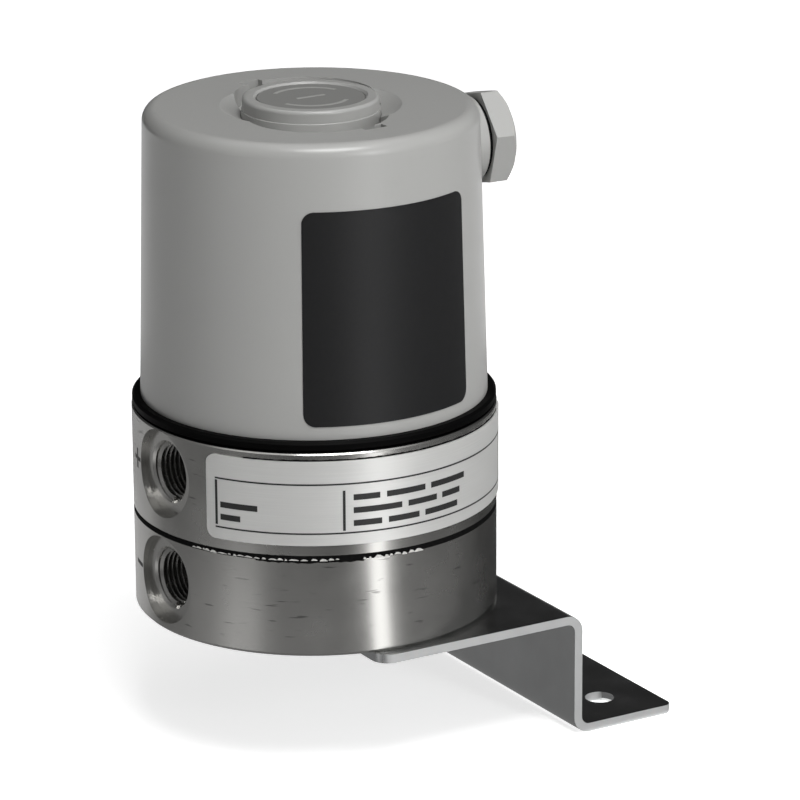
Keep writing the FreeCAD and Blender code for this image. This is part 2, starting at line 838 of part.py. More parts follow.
def entry_nut():
    """Hexagon-headed compression nut with a bore for the cable."""
    head_low = collar_reach + entry_gasket_t
    head_top = head_low + nut_head_l
    shank_low = entry_inner_reach + rubber_l + thrust_t
    corner_r = nut_flats / math.sqrt(3)
    head = hexagon(nut_flats, head_low, head_top)
    slope = nut_chamfer * 1.2
    dome = turned([
        (0, head_low), (corner_r + 1, head_low), (corner_r + 1, head_top - nut_chamfer - 1),
        (corner_r, head_top - nut_chamfer), (corner_r - slope, head_top), (0, head_top),
    ])
    shank = disc(entry_thread_r - running_gap, shank_low, head_low)
    nut = fused([head.common(dome), shank]).cut(disc(cable_way_r, shank_low, head_top))
    nut = nut.makeChamfer(nut_mouth_edge, rim_edges(nut, head_top, cable_way_r))
    nut.rotate(CENTRE, UP, 90 - nut_turn_deg)
    return lay_out(nut, entry_azimuth, entry_z)


def circuit_board():
    board = disc(board_r, board_z, board_top)
    cuts = [disc(board_bore_r, board_z, board_top)]
    cuts += [disc(standoff_screw_r + seat_gap, board_z, board_top, x, y) for x, y in standoff_places()]
    cuts.append(block((ribbon_w + 1, 1.2, board_t), board_z, 0, ribbon_y()))
    cuts.append(round_at(entry_azimuth + 180, block((2.5, 4, board_t), board_z, board_r)))
    return board.cut(cuts)


def standoffs():
    posts = []
    for x, y in standoff_places():
        post = hexagon(standoff_flats, chamber_top, board_z, x, y)
        tail = disc(standoff_screw_r, chamber_top - standoff_stud_l + 0.5, chamber_top, x, y)
        bore = disc(standoff_screw_r + slip_gap, board_z - board_screw_l, board_z, x, y)
        posts.append(fused([post, tail]).cut(bore))
    return group(posts)


def board_screws():
    length = board_screw_l + board_t - 0.5
    return group([pan_screw(standoff_screw_r, board_head_r, board_head_h, length, board_top, x, y)
                  for x, y in standoff_places()])


def ribbon_y():
    return pin_y - pin_r - ribbon_t / 2


def ribbon():
    """Flat lead from the sensor's pins up through the board into its plug."""
    low = carrier_top + 2.5
    return block((ribbon_w, ribbon_t, board_top + 2 - low), low, 0, ribbon_y())


def ribbon_plug():
    body = block(plug_size, board_top, 0, ribbon_y())
    body = body.makeChamfer(0.4, [e for e in body.Edges if e.BoundBox.ZMin > board_top + plug_size[2] - 0.01])
    slot = block((ribbon_w + 0.4, ribbon_t + 0.2, 2.6), board_top, 0, ribbon_y())
    return body.cut(slot)


def block_ys():
    return [block_centre[1] + block_pitch * (k - (block_ways - 1) / 2) for k in range(block_ways)]


def terminal_block():
    """Screw terminal block with a stepped face, screw wells on top and wire mouths."""
    length, width, height = block_size
    x, y = block_centre
    top = board_top + height
    body = block(block_size, board_top, x, y)
    step = Part.makeBox(1.6, width, height * 0.38, Vector(x + length / 2 - 1.6, y - width / 2, top - height * 0.38))
    body = body.cut(step)
    mouth_w, mouth_h = block_mouth
    cuts = []
    for way in block_ys():
        cuts.append(disc(block_well_r, board_top + 1.5, top, x - 0.8, way))
        cuts.append(block((length / 2 + 2, mouth_w, mouth_h), board_top + 1.5, x + length / 4 + 0.2, way))
    return body.cut(cuts)


def terminal_screws():
    screws = []
    for way in block_ys():
        x = block_centre[0] - 0.8
        top = board_top + block_size[2] - 1.2
        low = board_top + 1.6
        head = disc(block_screw_r, top - 1.8, top, x, way)
        shank = disc(block_screw_r * 0.7, low, top - 1.8, x, way)
        slot = block((block_screw_r * 2.2, 0.5, 0.8), top - 0.8, x, way)
        screws.append(fused([head, shank]).cut(slot))
    return group(screws)


def trimmer_body(place):
    x, y = place
    body = block((trimmer_side, trimmer_side, trimmer_h), board_top, x, y)
    body = body.makeChamfer(0.4, [e for e in body.Edges if e.BoundBox.ZLength > trimmer_h - 0.01])
    well = disc(trimmer_rotor_r + running_gap, board_top + trimmer_h - trimmer_rotor_h + 0.2,
                board_top + trimmer_h, x, y)
    return body.cut(well)


def trimmer_rotor(place):
    x, y = place
    low = board_top + trimmer_h - trimmer_rotor_h + 0.2
    top = low + trimmer_rotor_h
    rotor = disc(trimmer_rotor_r, low, top, x, y)
    slot = block((trimmer_rotor_r * 1.6, 0.6, 0.8), top - 0.8, x, y)
    arrow = block((0.6, trimmer_rotor_r * 0.8, 0.8), top - 0.8, x, y + trimmer_rotor_r * 0.4)
    return rotor.cut([slot, arrow])


def signal_chip():
    """Moulded chip with a row of bent legs on each side."""
    x, y = chip_centre
    length, width, height = chip_size
    standing = 0.15
    body = block((length, width, height - standing), board_top + standing, x, y)
    body = body.makeChamfer(0.3, [e for e in body.Edges if e.BoundBox.ZMin > board_top + height - 0.01])
    pieces = [body]
    for side in (-1, 1):
        for k in range(chip_legs):
            leg_y = y + chip_leg_pitch * (k - (chip_legs - 1) / 2)
            shoulder = block((0.6, 0.42, 0.2), board_top + 0.8, x + side * (length / 2 + 0.2), leg_y)
            shank = block((0.2, 0.42, 1.0), board_top, x + side * (length / 2 + 0.5), leg_y)
            toe = block((0.8, 0.42, 0.2), board_top, x + side * (length / 2 + 0.8), leg_y)
            pieces += [shoulder, shank, toe]
    return fused(pieces)


def capacitors():
    cans = []
    for x, y in capacitor_places:
        can = disc(capacitor_r, board_top, board_top + capacitor_h, x, y)
        cans.append(can.makeChamfer(capacitor_edge, rim_edges(can, board_top + capacitor_h)))
    return group(cans)


def small_components():
    return group([block(small_size, board_top, x, y) for x, y in small_places])


def write(name, shape):
    """Move a piece from the body's frame to the row's and write its file."""
    placed = shape.copy()
    placed.translate(origin_shift)
    placed.exportStep("parts/" + name + ".step")


def main():
    os.makedirs("parts", exist_ok=True)
    write("lower_chamber", lower_chamber())
    write("upper_chamber", upper_chamber())
    write("diaphragm", diaphragm())
    write("lower_support_plate", support_plate(seam_z - diaphragm_t - support_t))
    write("upper_support_plate", support_plate(seam_z))
    write("push_rod", push_rod())
    write("rod_nut", rod_nut())
    write("sensor_carrier", sensor_carrier())
    write("sensor_o_ring", sensor_o_ring())
    write("ceramic_beam", ceramic_beam())
    write("sensor_pins", sensor_pins())
    write("retainer_plate", retainer_plate())
    write("retainer_screws", retainer_screws())
    write("centre_stud", centre_stud())
    write("clamp_screws", clamp_screws())
    write("cover_gasket", cover_gasket())
    write("rating_plate", rating_plate())
    write("bracket", bracket())
    write("bracket_washers", bracket_washers())
    write("bracket_screws", bracket_screws())
    write("cover", cover())
    write("front_panel", panel(panel_proud))
    write("cover_knob", cover_knob())
    write("knob_insert", knob_insert())
    write("knob_clip", knob_clip())
    write("knob_seal", knob_seal())
    write("entry_gasket", entry_gasket())
    write("entry_rubber", entry_rubber())
    write("thrust_washer", thrust_washer())
    write("entry_nut", entry_nut())
    write("standoffs", standoffs())
    write("circuit_board", circuit_board())
    write("board_screws", board_screws())
    write("ribbon", ribbon())
    write("ribbon_plug", ribbon_plug())
    write("terminal_block", terminal_block())
    write("terminal_screws", terminal_screws())
    for name, place in trimmer_places.items():
        write(name + "_body", trimmer_body(place))
        write(name + "_rotor", trimmer_rotor(place))
    write("signal_chip", signal_chip())
    write("capacitors", capacitors())
    write("small_components", small_components())


main()
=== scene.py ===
import json
import math
import random

import bpy
from bpy.props import FloatProperty, IntProperty, PointerProperty, StringProperty
from mathutils import Matrix, Vector

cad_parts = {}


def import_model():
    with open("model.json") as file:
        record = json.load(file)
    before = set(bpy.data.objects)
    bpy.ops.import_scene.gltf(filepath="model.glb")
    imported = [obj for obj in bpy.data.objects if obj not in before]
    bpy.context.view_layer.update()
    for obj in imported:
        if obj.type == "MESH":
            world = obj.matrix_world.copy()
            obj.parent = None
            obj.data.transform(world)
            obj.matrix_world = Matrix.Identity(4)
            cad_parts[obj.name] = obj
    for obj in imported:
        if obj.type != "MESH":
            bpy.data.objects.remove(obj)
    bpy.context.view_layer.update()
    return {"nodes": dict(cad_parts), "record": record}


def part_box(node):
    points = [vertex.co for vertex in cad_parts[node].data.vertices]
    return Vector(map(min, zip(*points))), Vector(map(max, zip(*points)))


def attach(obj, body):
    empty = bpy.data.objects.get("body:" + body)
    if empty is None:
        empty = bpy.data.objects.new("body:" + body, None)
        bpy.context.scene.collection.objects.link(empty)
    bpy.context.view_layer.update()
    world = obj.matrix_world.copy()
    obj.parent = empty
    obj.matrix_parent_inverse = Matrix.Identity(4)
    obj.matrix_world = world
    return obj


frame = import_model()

bl_info = {
    "name": "Differential Pressure Transmitter",
    "version": (1, 0, 0),
    "blender": (4, 5, 0),
    "location": "View3D > Sidebar > Transmitter",
    "description": "Finishes, port threads, plate print and studio for a differential pressure transmitter",
    "category": "Object",
}

MM = 0.001

# What the frame gives: its own box, the body's axis and radii, and the interfaces' axes
gasket_low, gasket_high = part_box("cover_gasket")
lower_low, lower_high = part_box("lower_chamber")
plate_low, plate_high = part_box("rating_plate")
insert_low, insert_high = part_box("knob_insert")
knob_low, knob_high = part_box("cover_knob")
AXIS = Vector(((gasket_low.x + gasket_high.x) / 2, (gasket_low.y + gasket_high.y) / 2, 0))
CHAMBER_R = (lower_high.y - lower_low.y) / 2
PLATE_R = AXIS.y - plate_low.y
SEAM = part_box("upper_chamber")[0].z
STUD_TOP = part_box("centre_stud")[1].z
BOARD_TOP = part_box("circuit_board")[1].z
CAN_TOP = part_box("capacitors")[1].z
KNOB_R = (knob_high.y - knob_low.y) / 2
INSERT_R = (insert_high.y - insert_low.y) / 2
MOUNTS = {mount["name"]: mount for mount in frame["record"]["mounts"]}


class TransmitterColours(bpy.types.PropertyGroup):
    """Colours of the finishes, as sRGB hex values"""

    cover: StringProperty(name="Cover", description="Moulded cover and knob", default="#A6A6A4")
    insert: StringProperty(name="Knob insert", description="Disc in the knob's cup", default="#7E7E7C")
    nut: StringProperty(name="Entry nut", description="Nut of the cable entry", default="#A9A9A7")
    panel: StringProperty(name="Panel", description="Dark film on the cover's front", default="#19191A")
    rubber: StringProperty(name="Rubber", description="Seals and gaskets", default="#040404")
    nickel: StringProperty(name="Nickel", description="Plating of the chambers", default="#C3C2BF")
    zinc: StringProperty(name="Zinc", description="Plating of the bracket", default="#C8C9C9")
    steel: StringProperty(name="Stainless steel", description="Screws, stud and clip", default="#B4B1AB")
    brass: StringProperty(name="Brass", description="Standoffs, pins and trimmer rotors", default="#C9A85E")
    foil: StringProperty(name="Foil", description="Ground of the rating plate", default="#DFDFDD")
    ink: StringProperty(name="Ink", description="Print on the rating plate", default="#1B1B1B")
    laminate: StringProperty(name="Laminate", description="Circuit board", default="#1F5B3A")
    terminal: StringProperty(name="Terminal block", description="Moulded terminal block", default="#3F7F52")
    trimmer: StringProperty(name="Trimmer", description="Trimmer bodies", default="#2F5FA0")
    chip: StringProperty(name="Chip", description="Moulded chips and plug", default="#1C1C1E")
    ceramic: StringProperty(name="Ceramic", description="Sensor beam and carrier", default="#E7E3DA")
    ribbon: StringProperty(name="Ribbon", description="Flat lead", default="#9A9A98")
    floor: StringProperty(name="Floor", description="Floor under the part", default="#F2F2F2")


class TransmitterDetails(bpy.types.PropertyGroup):
    """Sizes of what is added to the solids"""

    thread_pitch: FloatProperty(name="Port thread pitch", description="Pitch of the pipe thread in the ports",
                                default=0.907 * MM, unit="LENGTH")
    thread_depth: FloatProperty(name="Port thread depth", description="Height of the thread's ridge",
                                default=0.581 * MM, unit="LENGTH")
    thread_turns: IntProperty(name="Port thread turns", description="Full turns in a port", default=10)
    stud_pitch: FloatProperty(name="Stud thread pitch", description="Pitch of the thread on the centre stud",
                              default=1.0 * MM, unit="LENGTH")
    ink_height: FloatProperty(name="Ink height", description="How far print stands off its ground",
                              default=0.02 * MM, unit="LENGTH")
    line_width: FloatProperty(name="Line width", description="Printed lines of the rating plate",
                              default=0.28 * MM, unit="LENGTH")
    seed: IntProperty(name="Seed", description="Start of the random draws", default=7)


class TransmitterStudio(bpy.types.PropertyGroup):
    """Camera, lamps and background"""

    azimuth: FloatProperty(name="Azimuth", description="Where the camera stands",
                           default=math.radians(-30.678), subtype="ANGLE")
    elevation: FloatProperty(name="Elevation", description="Height of the camera's line of sight",
                             default=math.radians(17.623), subtype="ANGLE")
    roll: FloatProperty(name="Roll", description="Turn about the line of sight", default=math.radians(-0.325),
                        subtype="ANGLE")
    distance: FloatProperty(name="Distance", description="From the camera to its aim", default=0.763856,
                            unit="LENGTH")
    lens: FloatProperty(name="Lens", description="Focal length in millimetres", default=205.631)
    key_power: FloatProperty(name="Key lamp", description="Tall soft lamp at the front right, in watts",
                             default=1.6)
    top_power: FloatProperty(name="Top lamp", description="Soft box in front overhead, in watts", default=4.0)
    key_azimuth: FloatProperty(name="Key azimuth", description="Where the tall lamp stands",
                               default=math.radians(12), subtype="ANGLE")
    soft_azimuth: FloatProperty(name="Soft azimuth", description="Where the all-round light is strongest",
                                default=math.radians(52), subtype="ANGLE")
    fill: FloatProperty(name="Fill", description="Mean strength of the light from all round", default=0.21)
    slope: FloatProperty(name="Slope", description="How much stronger it is on the key's side", default=0.50)


def linear(hex_colour):
    """An sRGB hex colour as linear red, green, blue and alpha."""
    channels = [int(hex_colour[k:k + 2], 16) / 255 for k in (1, 3, 5)]
    return [c / 12.92 if c <= 0.04045 else ((c + 0.055) / 1.055) ** 2.4 for c in channels] + [1.0]


def colour(name, factor=1.0):
    """Linear colour of a named finish, lightened or darkened by a factor."""
    rgba = linear(getattr(bpy.context.scene.transmitter_colours, name))
    return [min(1.0, c * factor) for c in rgba[:3]] + [1.0]


def per(size_mm):
    """Texture scale that gives features of a size in millimetres."""
    return 1 / (size_mm * MM)


# Materials

def add(tree, kind, inputs=None, **settings):
    """Add a node with its settings, and feed its inputs with values or other nodes' outputs."""
    node = tree.nodes.new(kind)
    for name, value in settings.items():
        setattr(node, name, value)
    feed(tree, node, inputs or {})
    return node


def feed(tree, node, inputs):
    """Set a node's inputs to values, or link them to other nodes' outputs."""
    for name, value in inputs.items():
        if isinstance(value, bpy.types.NodeSocket):
            tree.links.new(value, node.inputs[name])
        else:
            node.inputs[name].default_value = value


def begin(name):
    """A new material with its tree, its shader and the piece's own coordinates in metres."""
    material = bpy.data.materials.new(name)
    material.use_nodes = True
    tree = material.node_tree
    place = add(tree, "ShaderNodeTexCoord").outputs["Object"]
    return material, tree, tree.nodes["Principled BSDF"], place


def noise(tree, place, size_mm, detail):
    """Noise with features of a size in millimetres."""
    return add(tree, "ShaderNodeTexNoise", {"Vector": place, "Scale": per(size_mm),
                                            "Detail": detail}).outputs[0]


def blend(tree, share, first, second):
    """Mix of two colours."""
    return add(tree, "ShaderNodeMix", {0: share, 6: first, 7: second}, data_type="RGBA").outputs[2]


def spread(tree, value, span, source=(0.0, 1.0)):
    """A value's range mapped onto a span."""
    return add(tree, "ShaderNodeMapRange", {0: value, 1: source[0], 2: source[1],
                                            3: span[0], 4: span[1]}).outputs[0]


def relief(tree, height, strength, depth_mm):
    """Normal that a fine relief of a depth in millimetres gives."""
    return add(tree, "ShaderNodeBump", {"Height": height, "Strength": strength,
                                        "Distance": depth_mm * MM}).outputs[0]


def stretched(tree, place, factors):
    """Coordinates scaled along each axis, so that a texture draws out."""
    return add(tree, "ShaderNodeVectorMath", {0: place, 1: factors}, operation="MULTIPLY").outputs[0]


def round_place(tree, place):
    """Arc length round the body's axis, distance from it and height, as one vector."""
    moved = add(tree, "ShaderNodeVectorMath", {0: place, 1: AXIS}, operation="SUBTRACT").outputs[0]
    split = add(tree, "ShaderNodeSeparateXYZ", {0: moved})
    angle = add(tree, "ShaderNodeMath", {0: split.outputs[1], 1: split.outputs[0]},
                operation="ARCTAN2").outputs[0]
    arc = add(tree, "ShaderNodeMath", {0: angle, 1: CHAMBER_R}, operation="MULTIPLY").outputs[0]
    flat = stretched(tree, moved, (1, 1, 0))
    out = add(tree, "ShaderNodeVectorMath", {0: flat}, operation="LENGTH").outputs["Value"]
    return add(tree, "ShaderNodeCombineXYZ", {0: arc, 1: out, 2: split.outputs[2]}).outputs[0]


def turned_nickel():
    """Brass turned on a lathe and nickel plated: tool rings round the axis draw reflections out upwards."""
    material, tree, shader, place = begin("turned_nickel_plated_brass")
    turned = round_place(tree, place)
    # Feed marks of the tool are near 0.1 mm apart and drawn at 0.3 mm, so that they show
    rings = stretched(tree, turned, (0.02, 1, 1))
    marks = noise(tree, rings, 0.3, 3)
    # Clouds of wear and handling some 9 mm wide
    clouds = noise(tree, place, 9, 5)
    # Short dents and scrapes along the turning, about 2 mm by 0.25 mm
    drawn = stretched(tree, turned, (0.13, 1, 1))
    dashes = noise(tree, drawn, 0.55, 1)
    scrape = spread(tree, dashes, (0, 1), (0.70, 0.80))
    stained = blend(tree, clouds, colour("nickel", 0.78), colour("nickel", 1.08))
    tone = blend(tree, scrape, stained, colour("nickel", 0.5))
    rough = spread(tree, clouds, (0.21, 0.29), (0.3, 0.7))
    dent = add(tree, "ShaderNodeMath", {0: marks, 1: scrape}, operation="SUBTRACT").outputs[0]
    bump = relief(tree, dent, 0.25, 0.02)
    around = add(tree, "ShaderNodeTangent", direction_type="RADIAL", axis="Z").outputs[0]
    feed(tree, shader, {"Base Color": tone, "Metallic": 1.0, "Roughness": rough, "Normal": bump,
                        "Tangent": around, "Anisotropic": 0.75, "Anisotropic Rotation": 0.25})
    return material


def thread_nickel():
    """The same plating on the cut threads, mottled darker in random patches."""
    material, tree, shader, place = begin("nickel_plated_thread")
    thread_mottle = noise(tree, place, 1.5, 4)
    tone = blend(tree, thread_mottle, colour("nickel", 0.55), colour("nickel"))
    rough = spread(tree, thread_mottle, (0.16, 0.34))
    feed(tree, shader, {"Base Color": tone, "Metallic": 1.0, "Roughness": rough})
    return material


def glinting_burr_nickel():
    """Nickel of the burrs the tool left: pale and mostly matt, so that it scatters the light as painted
    glints.
    """
    material, tree, shader, place = begin("burr_nickel_painted_glint")
    glint_mottle = noise(tree, place, 0.5, 3)
    tone = blend(tree, glint_mottle, colour("nickel", 0.6), colour("nickel", 1.7))
    feed(tree, shader, {"Base Color": tone, "Metallic": 0.2, "Roughness": 0.35})
    return material


def plated_sheet():
    """Cold-rolled steel sheet, bright zinc plated: a near mirror with a rolled grain and cloudy bloom."""
    material, tree, shader, place = begin("zinc_plated_steel_sheet")
    # Rolling grain runs along the bracket, some 0.4 mm wide
    grain_way = stretched(tree, place, (0.04, 1, 0.04))
    grain = noise(tree, grain_way, 0.4, 2)
    bloom = noise(tree, place, 7, 6)
    tone = blend(tree, bloom, colour("zinc", 0.82), colour("zinc", 1.05))
    # The sheared edges, which face sideways, are torn and take a thick matt plating
    facing = add(tree, "ShaderNodeTexCoord").outputs["Normal"]
    side = add(tree, "ShaderNodeSeparateXYZ", {0: facing}).outputs[1]
    sheared = add(tree, "ShaderNodeMath", {0: side}, operation="ABSOLUTE").outputs[0]
    smooth_rough = spread(tree, bloom, (0.12, 0.24), (0.35, 0.7))
    rough = spread(tree, sheared, (smooth_rough, 0.6), (0.7, 0.9))
    bump = relief(tree, grain, 0.12, 0.02)
    metal = spread(tree, sheared, (1.0, 0.45), (0.7, 0.9))
    feed(tree, shader, {"Base Color": tone, "Metallic": metal, "Roughness": rough, "Normal": bump})
    return material


def plain_steel():
    """Stainless steel as screws have it: cold headed, bright, with fine handling marks."""
    material, tree, shader, place = begin("stainless_steel_headed")
    marks = noise(tree, place, 0.6, 4)
    rough = spread(tree, marks, (0.2, 0.36))
    bump = relief(tree, marks, 0.08, 0.02)
    feed(tree, shader, {"Base Color": colour("steel"), "Metallic": 1.0, "Roughness": rough, "Normal": bump})
    return material


def drawn_brass():
    """Brass bar stock, turned and left bare: warm, with a light tarnish."""
    material, tree, shader, place = begin("turned_brass")
    tarnish = noise(tree, place, 2.5, 4)
    tone = blend(tree, tarnish, colour("brass", 0.75), colour("brass"))
    rough = spread(tree, tarnish, (0.22, 0.4))
    feed(tree, shader, {"Base Color": tone, "Metallic": 1.0, "Roughness": rough})
    return material


def plain_solder():
    """Reflowed solder: bright, with a slightly wavy skin."""
    material, tree, shader, place = begin("reflowed_solder")
    skin = noise(tree, place, 0.8, 2)
    rough = spread(tree, skin, (0.15, 0.35))
    feed(tree, shader, {"Base Color": colour("zinc"), "Metallic": 1.0, "Roughness": rough})
    return material


def can_aluminium():
    """Drawn aluminium of the capacitor cans: soft and bright."""
    material, tree, shader, place = begin("drawn_aluminium")
    haze = noise(tree, place, 1.2, 3)
    rough = spread(tree, haze, (0.22, 0.38))
    feed(tree, shader, {"Base Color": colour("foil", 1.1), "Metallic": 1.0, "Roughness": rough})
    return material


def moulded(name, finish, roughness, grain_mm, grain_strength):
    """Injection-moulded plastic: even colour, with a fine eroded grain from the mould."""
    material, tree, shader, place = begin(name)
    grain = noise(tree, place, grain_mm, 2)
    rough = spread(tree, grain, (roughness - 0.04, roughness + 0.04))
    bump = relief(tree, grain, grain_strength, 0.02)
    feed(tree, shader, {"Base Color": colour(finish), "Roughness": rough, "Normal": bump, "IOR": 1.53})
    return material


def seal_rubber():
    """Moulded black rubber: matt, with a dusty bloom."""
    material, tree, shader, place = begin("moulded_black_rubber")
    bloom = noise(tree, place, 4, 5)
    tone = blend(tree, bloom, colour("rubber"), colour("rubber", 1.9))
    rough = spread(tree, bloom, (0.42, 0.6))
    feed(tree, shader, {"Base Color": tone, "Roughness": rough, "Specular IOR Level": 0.04, "IOR": 1.5})
    return material


def printed_film():
    """Screen-printed polyester film: dark ink under a fine matt lacquer."""
    material, tree, shader, place = begin("printed_polyester_film")
    speckle = noise(tree, place, 0.5, 2)
    tone = blend(tree, speckle, colour("panel", 0.85), colour("panel", 1.2))
    bump = relief(tree, speckle, 0.1, 0.01)
    feed(tree, shader, {"Base Color": tone, "Roughness": 0.42, "Normal": bump,
                        "Specular IOR Level": 0.35, "IOR": 1.5})
    return material


def plate_foil():
    """Brushed aluminium foil under a clear film: silver grey, brushed along its length."""
    material, tree, shader, place = begin("brushed_aluminium_foil")
    turned = round_place(tree, place)
    way = stretched(tree, turned, (0.015, 1, 1))
    # Brush lines are near 0.05 mm and drawn at 0.2 mm, so that they show
    lines = noise(tree, way, 0.2, 3)
    tone = blend(tree, lines, colour("foil", 0.9), colour("foil", 1.04))
    rough = spread(tree, lines, (0.4, 0.52))
    around = add(tree, "ShaderNodeTangent", direction_type="RADIAL", axis="Z").outputs[0]
    feed(tree, shader, {"Base Color": tone, "Metallic": 0.45, "Roughness": rough, "Tangent": around,
                        "Anisotropic": 0.5, "Anisotropic Rotation": 0.25})
    return material


def printing_ink():
    """Black printing ink, slightly mottled where it lies on the foil."""
    material, tree, shader, place = begin("black_printing_ink")
    mottle = noise(tree, place, 0.4, 2)
    tone = blend(tree, mottle, colour("ink"), colour("ink", 2.2))
    feed(tree, shader, {"Base Color": tone, "Roughness": 0.5})
    return material


def stamped_groove():
    """Bottom of a stamped mark: bare metal dulled with dirt, so it reads dark."""
    material, tree, shader, place = begin("stamped_dull_brass")
    darkening = noise(tree, place, 0.5, 3)
    tone = blend(tree, darkening, colour("ink"), colour("nickel", 0.2))
    feed(tree, shader, {"Base Color": tone, "Metallic": 0.6, "Roughness": 0.55})
    return material


def painted_groove_shade():
    """Painted shade for grooves and edges: nearly black and matt."""
    material, tree, shader, place = begin("painted_shade_fill")
    shade_mottle = noise(tree, place, 0.6, 3)
    tone = blend(tree, shade_mottle, colour("ink", 0.15), colour("ink", 0.8))
    feed(tree, shader, {"Base Color": tone, "Roughness": 0.7, "Specular IOR Level": 0.03})
    return material


def board_laminate():
    """Glass-filled laminate under green solder lacquer: glossy, with the glass weave just showing."""
    material, tree, shader, place = begin("solder_lacquered_laminate")
    # Glass cloth has about a thread every 0.6 mm
    weave = add(tree, "ShaderNodeTexWave", {"Vector": place, "Scale": per(0.6) / (2 * math.pi),
                                            "Distortion": 0.6}, bands_direction="X").outputs[1]
    weft = add(tree, "ShaderNodeTexWave", {"Vector": place, "Scale": per(0.6) / (2 * math.pi),
                                           "Distortion": 0.6}, bands_direction="Y").outputs[1]
    cloth = add(tree, "ShaderNodeMath", {0: weave, 1: weft}, operation="ADD").outputs[0]
    half = add(tree, "ShaderNodeMath", {0: cloth, 1: 0.5}, operation="MULTIPLY").outputs[0]
    tone = blend(tree, half, colour("laminate", 0.85), colour("laminate"))
    bump = relief(tree, half, 0.06, 0.01)
    feed(tree, shader, {"Base Color": tone, "Roughness": 0.24, "Normal": bump, "IOR": 1.55})
    return material


def fired_ceramic():
    """Fired alumina and the pale resin beside it: off-white, dense and faintly speckled."""
    material, tree, shader, place = begin("fired_alumina")
    speck = noise(tree, place, 0.7, 3)
    tone = blend(tree, speck, colour("ceramic", 0.92), colour("ceramic"))
    feed(tree, shader, {"Base Color": tone, "Roughness": 0.45, "IOR": 1.7})
    return material


def flat_lead():
    """Extruded ribbon lead: ridged along each core."""
    material, tree, shader, place = begin("extruded_ribbon_lead")
    # One core each 1.27 mm
    ridge_shade_bands = add(tree, "ShaderNodeTexWave", {"Vector": place, "Scale": per(1.27) / (2 * math.pi)},
                 bands_direction="X").outputs[1]
    # Darker bands at the core pitch are painted shade between the ridges
    tone = blend(tree, ridge_shade_bands, colour("ribbon", 0.6), colour("ribbon"))
    feed(tree, shader, {"Base Color": tone, "Roughness": 0.5})
    return material


def wear(material, *names):
    """Put a material on CAD nodes."""
    for name in names:
        mesh = frame["nodes"][name].data
        mesh.materials.clear()
        mesh.materials.append(material)


# Meshes

def new_piece(name, vertices, faces, material, body, slot):
    """A mesh piece in the row's frame that rides on a body."""
    mesh = bpy.data.meshes.new(name)
    mesh.from_pydata([tuple(v) for v in vertices], [], faces)
    mesh.materials.append(material)
    mesh.validate()
    piece = bpy.data.objects.new(name, mesh)
    bpy.context.scene.collection.objects.link(piece)
    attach(piece, body)
    return piece


def smooth(piece):
    """Shade smooth, with edges sharper than 35 degrees kept."""
    mesh = piece.data
    mesh.polygons.foreach_set("use_smooth", [True] * len(mesh.polygons))
    mesh.set_sharp_from_angle(angle=math.radians(35))


def swept(sections):
    """Vertices and faces of a closed solid through like sections, with both ends capped."""
    count = len(sections[0])
    vertices = [point for section in sections for point in section]
    faces = []
    for k in range(len(sections) - 1):
        for j in range(count):
            a, b = k * count + j, k * count + (j + 1) % count
            faces.append((a, b, b + count, a + count))
    last = (len(sections) - 1) * count
    faces.append(tuple(reversed(range(count))))
    faces.append(tuple(range(last, last + count)))
    return vertices, faces


def closed(sections):
    """Vertices and faces of a ring through like sections, the last joined to the first."""
    vertices, faces = swept(sections)
    count = len(sections[0])
    last = (len(sections) - 1) * count
    turn = [(last + j, last + (j + 1) % count, (j + 1) % count, j) for j in range(count)]
    return vertices, faces[:-2] + turn


def joined(solids):
    """Several (vertices, faces) solids as one."""
    vertices, faces = [], []
    for more_vertices, more_faces in solids:
        start = len(vertices)
        vertices += more_vertices
        faces += [tuple(start + k for k in face) for face in more_faces]
    return vertices, faces


def on_body(radius, azimuth, height):
    """Point at a distance from the body's axis, at an azimuth in degrees and a height."""
    angle = math.radians(azimuth)
    return AXIS + Vector((radius * math.cos(angle), radius * math.sin(angle), height))


def band(inner, outer, azimuth, low, high, crown=None):
    """Section of a band on the body, with a radius of its own, the crown, at its upper outer corner."""
    return [on_body(inner, azimuth, low), on_body(outer, azimuth, low),
            on_body(crown or outer, azimuth, high), on_body(inner, azimuth, high)]


def curved_strip(radius, thickness, start, end, low, high, step=2.0):
    """Thin solid strip that lies on a cylinder round the body's axis, between two azimuths."""
    count = max(2, int(abs(end - start) / step) + 2)
    sections = []
    for k in range(count):
        azimuth = start + (end - start) * k / (count - 1)
        sections.append(band(radius, radius + thickness, azimuth, low, high))
    return swept(sections)


def helix(frame_matrix, turns, pitch, section, start=0.0, steps=48):
    """Thread ridge: a (radius, along) section carried round and along a local Z axis."""
    sections = []
    for k in range(int(turns * steps) + 1):
        angle = 2 * math.pi * k / steps
        rise = start + pitch * k / steps
        sections.append([frame_matrix @ Vector((r * math.cos(angle), r * math.sin(angle), z + rise))
                         for r, z in section])
    return swept(sections)


def axis_frame(origin, direction):
    """Matrix that sets local Z along a direction at an origin."""
    turn = Vector((0, 0, 1)).rotation_difference(Vector(direction))
    return Matrix.Translation(origin) @ turn.to_matrix().to_4x4()


